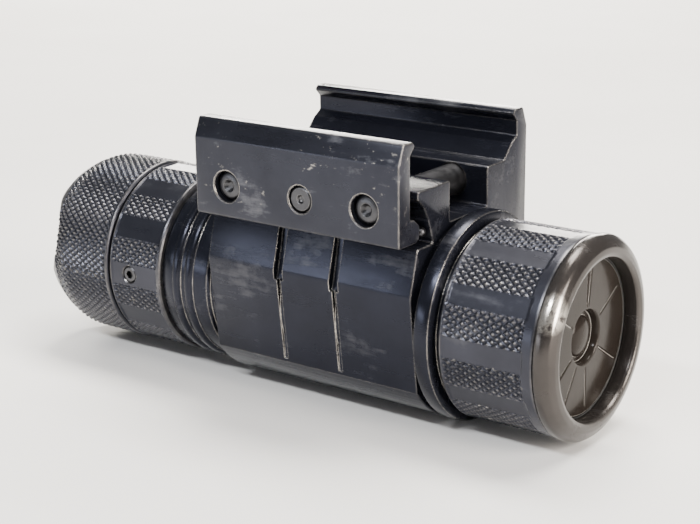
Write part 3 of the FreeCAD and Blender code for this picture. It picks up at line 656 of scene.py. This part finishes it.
def build_screw(which):
    node = f"clamp_screw_{which}"
    low, high = span(node)
    x, z = centre_xz(node)
    r, head_r = 1.75, (high.z - low.z) / 2
    tip, top = low.y, high.y
    head_y = top - 3.0
    profile = [(tip + 0.5, 0), (tip + 0.45, 0.35), (tip, 0.75), (tip, 1.2), (tip + 0.3, r - 0.1)]
    for y in np.arange(tip + 0.4, tip + 6.0, 0.6):
        profile += [(y, r), (y + 0.12, r), (y + 0.3, r - 0.32), (y + 0.48, r)]
    profile += [(tip + 6.6, r), (head_y, r), (head_y, head_r - 0.25), (head_y + 0.25, head_r)]
    rim = head_y + 0.5
    while rim < top - 0.6:
        profile += [(rim, head_r), (rim + 0.1, head_r - 0.07), (rim + 0.2, head_r)]
        rim += 0.4
    profile += [(top - 0.35, head_r), (top - 0.1, head_r - 0.12), (top, head_r - 0.4),
                (top, 0)]
    screw = place(lathe(f"screw_{which}", profile, 64, ring=False, axis="Y"), x, 0, z)
    carve(screw, [hex_bar("key", 2.5, top - 1.8, top + 1, x, z)])
    return settle(screw, f"screw_{which}", [node], SCREW_BLACK)


def build_guide_pin():
    low, high = span("guide_pin")
    x, z = centre_xz("guide_pin")
    r = (high.x - low.x) / 2
    profile = [(low.y + 0.35, 0), (low.y + 0.3, 0.3), (low.y, 0.5), (low.y, r - 0.25),
               (low.y + 0.25, r), (high.y - 0.3, r), (high.y, r - 0.3), (high.y, 0)]
    pin = place(lathe("guide_pin_skin", profile, 48, ring=False, axis="Y"), x, 0, z)
    return settle(pin, "housing", ["guide_pin"], PIN_STEEL)


def build_pivot_rod():
    low, high = span("pivot_rod")
    y, z, r = (low.y + high.y) / 2, (low.z + high.z) / 2, (high.z - low.z) / 2
    end = [(low.x + r * (1 - math.cos(t)), r * math.sin(t))
           for t in np.linspace(0, math.pi / 2, 7)]
    far_end = [(low.x + high.x - x, s) for x, s in reversed(end)]
    rod = place(lathe("pivot_rod_skin", [*end, *far_end], 32, ring=False), 0, y, z)
    return settle(rod, "housing", ["pivot_rod"], PIN_STEEL)


# ---------------------------------------------------------------- tail
def build_tail_ring():
    low, high = span("tail_ring")
    r = high.y
    bore = 9.05
    x0, x1 = low.x + 0.4, high.x - 0.45
    before = [(low.x + 1.7, TUBE_R), (low.x + 1.7, bore), (low.x, bore), (low.x, r - 0.3),
              (low.x + 0.1, r - 0.1)]
    after = [(high.x - 0.12, r - 0.08), (high.x, r - 0.3), (high.x, TUBE_R)]
    profile = knurl_profile((before, after), low.x + 0.3, high.x - 0.3, r)
    skin = knurl_skin(x0, x1, r, math.radians(RING_FLAT_HALF), (x0 - 0.1, x1 + 0.1))
    ring = lathe("tail_ring_skin", profile, FINE, shape=skin, smooth_angle=28)
    a, b = span("tail_set_screw")
    hole = drill_bit("set_way", (b.z - a.z) / 2 + 0.05, -13, -8.0, (a.x + b.x) / 2, 0, 0.22,
                     -(r - 0.12))
    carve(ring, [hole], 28)
    return settle(ring, "housing", ["tail_ring"], COAT_KNURL)


def build_set_screw():
    low, high = span("tail_set_screw")
    x, r = (low.x + high.x) / 2, (high.z - low.z) / 2
    profile = [(low.y, 0), (low.y, r - 0.15), (low.y + 0.15, r)]
    for y in np.arange(low.y + 0.2, high.y - 0.3, 0.25):
        profile += [(y, r), (y + 0.12, r - 0.1)]
    profile += [(high.y - 0.2, r), (high.y, r - 0.35), (high.y, 0)]
    grub = place(lathe("set_screw_skin", profile, 40, ring=False, axis="Y"), x, 0, 0)
    carve(grub, [hex_bar("key", 0.95, low.y - 0.5, low.y + 0.7, x, 0)])
    return settle(grub, "housing", ["tail_set_screw"], SCREW_BLACK)


SCALLOP_COUNT, SCALLOP_X, SCALLOP_FIRST = 3, -46.3, 14


def build_tail_cap():
    low, high = span("tail_cap")
    r = high.y
    front, end = -30.7, low.x
    bore, recess, hole = 7.9, 8.0, 5.3
    knurl0, knurl1 = -40.7, front - 0.35
    inside = [(high.x, bore), (-39.0, bore), (-39.0, hole), (-40.2, hole),
              (-40.2, recess), (end + 0.2, recess)]
    rim = rounded([(end + 0.2, recess), (end, recess + 0.1), (end, 8.85), (-42.0, 9.95),
                   (-40.4, 10.8), (-38.8, r), (-36.0, r)],
                  [0.1, 0.2, 0.4, 3.0, 4.0, 3.0, 0.1], closed=False, steps=6)
    rim_x, rim_r = np.array(rim).T
    smooth_rim = [tuple(p) for p in rim[1:] if p[0] < knurl0 - 0.05]
    knurled_rim = [(x, np.interp(x, rim_x, rim_r)) for x in np.arange(knurl0, -37.7, 0.115)]
    before = [*inside, *smooth_rim, *knurled_rim]
    spigot = [(front, r - 0.3), (front, 9.0), (-30.3, 9.0), (-30.3, 8.3), (-29.1, 8.3),
              (-29.1, 9.0)]
    for x in np.arange(-28.8, high.x - 0.8, 0.8):
        spigot += [(x, 9.0), (x + 0.2, 9.0), (x + 0.4, 8.7), (x + 0.6, 9.0)]
    after = [(front - 0.12, r - 0.08), *spigot, (high.x - 0.15, 9.0), (high.x, 8.85)]
    profile = knurl_profile((before, after), -37.6, knurl1 + 0.1, r)
    skin = knurl_skin(knurl0, knurl1, r, least_r=10.4)
    cap = lathe("tail_cap_skin", profile, FINE, shape=skin, smooth_angle=28)
    cutters = []
    for k in range(SCALLOP_COUNT):
        way = lathe("scallop", rounded([(12.5, 0), (12.5, 6.3), (4, 6.0), (4, 0)], 0.01,
                                       closed=False), 64, ring=False, axis="Y")
        way.data.transform(Matrix.Rotation(math.pi, 4, "Z"))
        place(way, SCALLOP_X)
        cutters.append(spin(way, -SCALLOP_FIRST - 360 / SCALLOP_COUNT * k))
    carve(cap, cutters, 28)
    return settle(cap, "cap", ["tail_cap"], COAT_KNURL)


def torus(name, node):
    """O-ring with a thin moulding flash round its outside."""
    low, high = span(node)
    minor = (high.x - low.x) / 2
    x, major = (low.x + high.x) / 2, high.y - minor
    ring = [(x + minor * math.cos(t), major + minor * math.sin(t))
            for t in np.arange(16) * math.pi / 8]
    flash = [(px, pr + (0.02 if abs(px - x) < 0.05 and pr > major else 0)) for px, pr in ring]
    return lathe(name, flash, 96)


def build_button():
    low, high = span("tail_button")
    x0 = low.x
    profile = [(high.x, 0), (high.x, high.y - 0.2), (high.x - 0.2, high.y),
               (high.x - 0.6, high.y), (high.x - 0.75, high.y - 0.15), (high.x - 0.75, 5.2),
               (x0 + 0.95, 5.2), (x0 + 0.75, 5.12), (x0 + 0.55, 4.8), (x0 + 0.38, 4.3)]
    for r in (3.8, 3.2, 2.6, 2.0, 1.4):
        fall = 0.28 * (r / 4.0) ** 2
        profile += [(x0 + fall + 0.05, r + 0.22), (x0 + fall + 0.17, r + 0.1),
                    (x0 + fall + 0.17, r), (x0 + fall + 0.05, r - 0.12)]
    profile += [(x0 + 0.03, 0.9), (x0, 0.45), (x0, 0)]
    obj = lathe("button_skin", profile, 96, ring=False, smooth_angle=50)
    return settle(obj, "button", ["tail_button"], BUTTON_RUBBER)


def build_switch():
    low, high = span("switch_plunger")
    r = high.y
    plunger = lathe("plunger_skin", [
        (low.x, 0), (low.x, r - 0.2), (low.x + 0.2, r), (low.x + 1.4, r), (low.x + 1.5, r - 0.3),
        (low.x + 1.8, r - 0.3), (low.x + 1.9, r), (high.x - 0.3, r), (high.x, r - 0.3),
        (high.x, 0)], 48, ring=False)
    settle(plunger, "button", ["switch_plunger"], SWITCH_PLASTIC)
    low, high = span("switch_body")
    r = high.y
    switch = lathe("switch_skin", [
        (low.x + 4.3, 0), (low.x + 4.3, 2.2), (low.x + 0.15, 2.2), (low.x, 2.4), (low.x, r - 0.7),
        (low.x + 0.9, r - 0.1), (low.x + 1.1, r), (low.x + 3.0, r), (low.x + 3.1, r - 0.4),
        (low.x + 4.0, r - 0.4), (low.x + 4.1, r), (high.x - 0.4, r), (high.x - 0.2, r - 0.2),
        (high.x - 0.2, 5.2), (high.x, 5.0), (high.x, 0)], 96, ring=False)
    lanes = [spin(prism("lane", [(6.9, -0.5), (8.4, -0.5), (8.4, 0.5), (6.9, 0.5)],
                        low.x + 4.6, high.x - 0.6, 0.1, 0.15), 45 + 90 * k) for k in range(4)]
    carve(switch, lanes)
    settle(switch, "cap", ["switch_body"], SWITCH_PLASTIC)
    low, high = span("switch_retainer")
    ring = lathe("retainer_skin", [
        (low.x, 5.6), (low.x, high.y - 0.1), (low.x + 0.12, high.y), (low.x + 0.35, high.y),
        (low.x + 0.5, high.y - 0.15), (low.x + 0.65, high.y), (high.x - 0.12, high.y),
        (high.x, high.y - 0.12), (high.x, 5.7), (high.x - 0.1, 5.6)], 96)
    notches = [spin(prism("notch", [(5.2, -0.7), (6.9, -0.7), (6.9, 0.7), (5.2, 0.7)],
                          low.x + 0.45, high.x + 0.5, 0.05, 0.1), 180 * k) for k in range(2)]
    carve(ring, notches)
    settle(ring, "cap", ["switch_retainer"], BRASS)


def wire_coil(name, x0, x1, r0, r1, turns, wire, closed_turns=0.8):
    """Coil spring with closed end turns, tapering from r0 to r1."""
    along, around = int(turns * 40), 10
    verts, faces = [], []
    for i in range(along + 1):
        s = i / along
        bend = np.clip((s * turns - closed_turns) / (turns - 2 * closed_turns), 0, 1)
        x = x0 + wire + (x1 - x0 - 2 * wire) * (3 * bend ** 2 - 2 * bend ** 3)
        t, r = 2 * math.pi * turns * s, r0 + (r1 - r0) * s
        out = np.array([0, -math.cos(t), math.sin(t)])
        for k in range(around):
            a = 2 * math.pi * k / around
            p = np.array([x, 0, 0]) + out * (r + wire * math.cos(a))
            verts.append(p + np.array([wire * math.sin(a), 0, 0]))
    for i in range(along):
        for k in range(around):
            j = (k + 1) % around
            a, b = i * around, (i + 1) * around
            faces.append((a + k, a + j, b + j, b + k))
    faces.append(tuple(range(around)))
    faces.append(tuple(reversed(range(along * around, (along + 1) * around))))
    obj = new_piece(name, verts, faces, 60)
    outward(obj)
    return obj


def build_springs():
    low, high = span("tail_spring")
    coil = wire_coil("tail_coil", low.x, high.x, high.y - 0.4, high.y - 1.4, 5, 0.35)
    settle(coil, "cap", ["tail_spring"], SPRING_STEEL)
    low, high = span("front_spring")
    coil = wire_coil("front_coil", low.x, high.x, high.y - 0.9, high.y - 0.4, 3.4, 0.33, 0.7)
    settle(coil, "housing", ["front_spring"], SPRING_STEEL)


# ---------------------------------------------------------------- power train
def build_cell():
    low, high = span("battery_cell")
    r, shoulder = high.y, high.x - 1.2
    profile = [(low.x, 0), (low.x, 5.9), (low.x + 0.1, 6.1), (low.x + 0.1, 6.6),
               (low.x, 6.8), (low.x, r - 0.7), (low.x + 0.25, r - 0.2), (low.x + 0.6, r),
               (low.x + 1.6, r), (low.x + 1.7, r - 0.06), (shoulder - 2.4, r - 0.06),
               (shoulder - 2.2, r - 0.2), (shoulder - 1.9, r - 0.2), (shoulder - 1.7, r),
               (shoulder - 0.5, r), (shoulder - 0.1, r - 0.3), (shoulder, r - 0.7),
               (shoulder, 6.0), (shoulder - 0.3, 5.6), (shoulder - 0.3, 3.9), (shoulder, 3.5),
               (shoulder, 3.3), (high.x - 0.25, 3.2), (high.x, 2.9), (high.x, 0)]
    cell = lathe("cell_skin", profile, 96, ring=False)
    settle(cell, "housing", ["battery_cell"], CELL_WRAP)


def chip(x0, x1, y, z, w, d):
    """Small rounded component standing on a board."""
    return prism("chip", [(y - w, z - d), (y + w, z - d), (y + w, z + d), (y - w, z + d)],
                 x0, x1, 0.06, 0.12)


def build_boards():
    low, high = span("driver_board")
    r = high.y
    board = lathe("driver_disc", [
        (low.x, 0), (low.x, 3.4), (low.x - 0.03, 3.5), (low.x - 0.03, 4.6), (low.x, 4.7),
        (low.x, r - 0.05), (low.x + 0.05, r), (high.x - 0.25, r), (high.x - 0.2, r - 0.05),
        (high.x - 0.2, 0)], 96, ring=False)
    parts = [board]
    spots = [(5.8, 2.2, 0.9, 0.6), (6.4, -1.6, 0.5, 0.8), (-5.9, 2.4, 0.6, 0.9),
             (-6.2, -2.2, 0.8, 0.5), (0.4, 6.3, 1.0, 0.55), (-0.6, -6.3, 0.9, 0.5)]
    for y, z, w, d in spots:
        parts.append(chip(high.x - 0.25, high.x - 0.01, y, z, w, d))
    settle(join("driver_skin", parts), "housing", ["driver_board"], BOARD_MASK)
    low, high = span("led_board")
    r = high.y
    star = lathe("star", [(low.x, 0), (low.x, r), (high.x - 0.15, r), (high.x - 0.08, r - 0.05),
                          (high.x - 0.08, 0)], 144, ring=False)
    bites = []
    for k in range(6):
        bite = place(lathe("bite", [(low.x - 1, 0), (low.x - 1, 1.3), (high.x + 1, 1.3),
                                    (high.x + 1, 0)], 32, ring=False), 0, -(r + 0.4), 0)
        bites.append(spin(bite, 60 * k + 30))
    carve(star, bites)
    pads = [spin(chip(high.x - 0.1, high.x - 0.01, -5.2, 0, 0.9, 0.7), 60 * k) for k in range(6)]
    settle(join("star_skin", [star, *pads]), "housing", ["led_board"],
           BOARD_MASK)


def build_sink():
    low, high = span("heat_sink")
    r = high.y
    profile = [(low.x, 0), (low.x, r - 0.25), (low.x + 0.15, r)]
    for x in np.arange(low.x + 0.3, high.x - 0.5, 0.5):
        profile += [(x, r), (x + 0.12, r - 0.22), (x + 0.3, r - 0.22), (x + 0.4, r)]
    profile += [(high.x - 0.15, r), (high.x, r - 0.2), (high.x, 0)]
    sink = lathe("sink_skin", profile, 96, ring=False)
    ways = [place(lathe("way", [(low.x - 1, 0), (low.x - 1, 1.2), (high.x + 1, 1.2),
                                (high.x + 1, 0)], 32, ring=False), 0, y, 0) for y in (-5, 5)]
    carve(sink, ways)
    settle(sink, "housing", ["heat_sink"], SINK_METAL)


def build_emitter():
    low, high = span("led_emitter")
    half, top = high.y, low.x + 0.7
    base = prism("package", [(-half, -half), (half, -half), (half, half), (-half, half)],
                 low.x, top, 0.08, 0.15)
    r = high.x - top
    rise = [(top + r * math.sin(t), r * math.cos(t)) for t in np.linspace(0, math.pi / 2, 12)]
    dome = lathe("emitter_dome", [(top - 0.1, 0), (top - 0.1, r), *rise[:-1], (high.x, 0)], 48,
                 ring=False)
    lip = lathe("lip", [(top - 0.05, r + 0.02), (top + 0.08, r + 0.1), (top - 0.05, r + 0.22)], 48)
    settle(join("emitter_skin", [base, dome, lip]), "housing", ["led_emitter"],
           LED_CLEAR)


# ---------------------------------------------------------------- optic and head
CREASES = (92, 97, 31, -29, -56, -92, 213, 151)   # degrees round the face
OPTIC_FACE = span("optic")[1].x
EYE_EDGE, CREASE_END = 3.3, 8.45


def optic_shape(x, angle, r):
    """Thin radial creases across the optic's flat face."""
    face = OPTIC_FACE - 0.02
    on_face = (x > face) & (r > EYE_EDGE) & (r < CREASE_END)
    lift = np.zeros_like(x)
    for k, degrees in enumerate(CREASES):
        away = np.abs((angle - math.radians(degrees) + math.pi) % (2 * math.pi) - math.pi) * r
        lift = np.maximum(lift, (0.10 if k % 3 else 0.16) * np.exp(-(away / 0.11) ** 2))
    fall = np.clip((r - EYE_EDGE) / 0.6, 0, 1) * np.clip((CREASE_END - r) / 0.5, 0, 1)
    return np.where(on_face, x - lift * fall, x), r


def build_optic():
    low, face = span("optic")[0], OPTIC_FACE
    back = [(low.x + 1.8, 0), (low.x + 1.8, 1.4), (low.x + 1.6, 1.6), (low.x, 1.6), (low.x, 2.6)]
    cone = [(low.x + s * (28.2 - low.x), 2.6 + 5.15 * s ** 0.8) for s in np.linspace(0.05, 1, 14)]
    rim = [(28.3, 7.8), (28.3, 9.2), (28.4, 9.3), (28.85, 9.3), (28.9, 9.2), (28.9, 8.75),
           (face - 0.08, 8.75), (face, 8.66)]
    disc = [(face, r) for r in np.arange(8.5, 3.4, -0.14)]
    dome = [(face - 0.9 + 0.8 * math.cos(t), 2.3 * math.sin(t))
            for t in np.linspace(math.pi / 2, 0, 12)]
    eye = [(face, 3.32), (face, 3.2), (face - 0.06, 3.08), (face - 0.25, 2.98),
           (face - 0.88, 2.82), (face - 0.9, 2.6), (face - 0.9, 2.36), *dome[:-1],
           (face - 0.1, 0)]
    obj = lathe("optic_skin", [*back, *cone, *rim, *disc, *eye], 360, ring=False,
                shape=optic_shape, smooth_angle=40)
    settle(obj, "optic_set", ["optic"], OPTIC)
    low, high = span("optic_holder")
    outer = [(low.x, 4.3), (low.x, 8.3), (low.x + 0.2, 8.6), (27.6, 8.6), (27.8, 8.75),
             (27.85, 9.25), (28.25, 9.3), (high.x, 9.2), (high.x, 8.15), (25.3, 7.15)]
    holder = lathe("holder_skin", outer, 96)
    ribs = [spin(prism("rib_gap", [(7.9, -0.8), (9.0, -0.8), (9.0, 0.8), (7.9, 0.8)],
                       low.x + 0.6, 27.0, 0.2, 0.3), 60 * k) for k in range(6)]
    carve(holder, ribs)
    settle(holder, "optic_set", ["optic_holder"], HOLDER_PLASTIC)


def build_bezel():
    low, high = span("bezel_gasket")
    gasket = lathe("gasket_skin", rounded([(low.x, 8.9), (low.x, high.y), (high.x, high.y),
                                           (high.x, 8.9)], 0.1), 96)
    settle(gasket, "bezel_seal", ["bezel_gasket"], SEAL_RUBBER)
    low, high = span("bezel_ring")
    r, tip = high.y, high.x
    seat = span("head_barrel")[1].x + 0.05
    face = OPTIC_FACE
    skin = [(low.x, 9.4), (low.x, 9.9), (low.x + 0.15, 10.05)]
    for x in np.arange(low.x + 0.3, seat - 0.6, 0.5):
        skin += [(x, 10.05), (x + 0.12, 10.05), (x + 0.25, 9.85), (x + 0.38, 10.05)]
    skin += [(seat - 0.1, 10.05), (seat, 10.05), (seat, r - 0.35), (seat + 0.04, r - 0.16),
             (seat + 0.16, r - 0.04)]
    nose = rounded([(seat + 0.35, r), (30.25, r), (30.95, 10.85), (31.3, 10.1), (tip, 9.5),
                    (31.28, 9.08), (30.95, 8.93), (30.4, 8.9)],
                   [0, 1.2, 1.0, 0.8, 0.5, 0.3, 0.3, 0], closed=False, steps=6)
    skin += [tuple(p) for p in nose]
    skin += [(face + 0.1, 8.9), (face, 8.95), (face, 9.4)]
    bezel = lathe("bezel_skin", skin, 192, smooth_angle=50)
    settle(bezel, "bezel", ["bezel_ring"], COAT_BEZEL)


def build_barrel():
    low, high = span("head_barrel")
    r = high.y
    bore = 9.55
    knurl0, knurl1 = low.x + 0.45, high.x - 1.35
    before = [(23.6, bore)]
    for x in np.arange(23.2, low.x + 0.8, -0.8):
        before += [(x, bore), (x - 0.2, bore + 0.25), (x - 0.4, bore)]
    before += [(low.x, bore), (low.x, r - 0.35), (low.x + 0.12, r - 0.1)]
    after = [(high.x - 0.25, r), (high.x - 0.08, r - 0.06), (high.x, r - 0.2), (high.x, 10.1),
             (24.9, 10.1), (24.9, 9.45), (23.6, 9.45)]
    profile = knurl_profile((before, after), low.x + 0.3, high.x - 0.4, r)
    skin = knurl_skin(knurl0, knurl1, r, math.radians(BARREL_FLAT_HALF),
                      (knurl0 - 0.1, knurl1 + 0.25))
    barrel = lathe("barrel_skin", profile, FINE, shape=skin, smooth_angle=28)
    settle(barrel, "head", ["head_barrel"], COAT_KNURL)


# ---------------------------------------------------------------- build
build_housing()
build_clamp_plate()
build_screw("rear")
build_screw("front")
build_guide_pin()
build_pivot_rod()
build_tail_ring()
build_set_screw()
build_tail_cap()
settle(torus("cap_seal_skin", "cap_o_ring"), "cap_seal", ["cap_o_ring"],
       SEAL_RUBBER)
settle(torus("head_seal_skin", "head_o_ring"), "housing", ["head_o_ring"],
       SEAL_RUBBER)
build_button()
build_switch()
build_springs()
build_cell()
build_boards()
build_sink()
build_emitter()
build_optic()
build_bezel()
build_barrel()


# ---------------------------------------------------------------- stage, light, camera
def floor_material():
    g = Graph("floor_paper")
    tone = g.mix(g.ramp(g.noise(14, 3), 0.35, 0.65), rgb(0.70, 0.69, 0.67), rgb(0.74, 0.73, 0.71))
    return g.surface(tone, 0.7, 0.0, g.bump(g.noise(900, 3), 0.05, 0.0002))


FLOOR_HALF = 1.2   # metres


def build_floor():
    z, size = CAD_LOW.z, FLOOR_HALF
    mesh = bpy.data.meshes.new("floor")
    mesh.from_pydata([(-size, -size, z), (size, -size, z), (size, size, z), (-size, size, z)], [],
                     [(0, 1, 2, 3)])
    floor = bpy.data.objects.new("floor", mesh)
    bpy.context.scene.collection.objects.link(floor)
    mesh.materials.append(floor_material())


def soft_light(name, where, aim, size, power, color):
    """Area light turned towards aim; lengths in metres, power in watts."""
    data = bpy.data.lights.new(name, "AREA")
    data.shape = "RECTANGLE"
    data.size, data.size_y = size
    data.energy = power
    data.color = color
    light = bpy.data.objects.new(name, data)
    light.location = where
    light.rotation_mode = "QUATERNION"
    light.rotation_quaternion = (Vector(aim) - Vector(where)).to_track_quat("-Z", "Y")
    bpy.context.scene.collection.objects.link(light)


def build_lights():
    world = bpy.data.worlds.new("studio")
    world.use_nodes = True
    background = world.node_tree.nodes["Background"]
    background.inputs["Color"].default_value = rgb(0.80, 0.82, 0.86)
    background.inputs["Strength"].default_value = 0.26
    bpy.context.scene.world = world
    aim = (0, 0, -0.012)
    soft_light("front", (-0.25, -0.37, 0.035), aim, (0.26, 0.05), 0.45, (0.88, 0.92, 1.0))
    soft_light("glint", (0.02, -0.30, 0.30), aim, (0.26, 0.035), 2.2, (0.95, 0.97, 1.0))
    soft_light("top", (0.02, 0.14, 0.42), aim, (0.40, 0.16), 6.0, (1.0, 0.96, 0.89))
    soft_light("side", (0.42, -0.04, 0.14), aim, (0.18, 0.26), 4.8, (1.0, 0.92, 0.84))
    soft_light("back", (-0.30, 0.40, 0.13), aim, (0.50, 0.07), 4.5, (1.0, 0.95, 0.87))


CAMERA_AZIMUTH, CAMERA_RISE, CAMERA_ROLL = 36.395, 16.86, -0.699   # degrees
CAMERA_AT = Vector((104.52, -144.34, 57.47))                      # mm from the axis
CAMERA_LENS = 81.8


def build_camera():
    a, e, roll = (math.radians(v) for v in (CAMERA_AZIMUTH, CAMERA_RISE, CAMERA_ROLL))
    back = Vector((math.sin(a) * math.cos(e), -math.cos(a) * math.cos(e), math.sin(e)))
    right = Vector((math.cos(a), math.sin(a), 0))
    up = back.cross(right)
    turned_right = right * math.cos(roll) + up * math.sin(roll)
    turned_up = up * math.cos(roll) - right * math.sin(roll)
    facing = Matrix((turned_right, turned_up, back)).transposed().to_4x4()
    data = bpy.data.cameras.new("camera")
    data.lens = CAMERA_LENS
    data.clip_start, data.clip_end = 0.005, 10
    camera = bpy.data.objects.new("camera", data)
    camera.matrix_world = Matrix.Translation(AXIS + CAMERA_AT * MM) @ facing
    bpy.context.scene.collection.objects.link(camera)
    bpy.context.scene.camera = camera


build_floor()
build_lights()
build_camera()

bpy.context.view_layer.update()
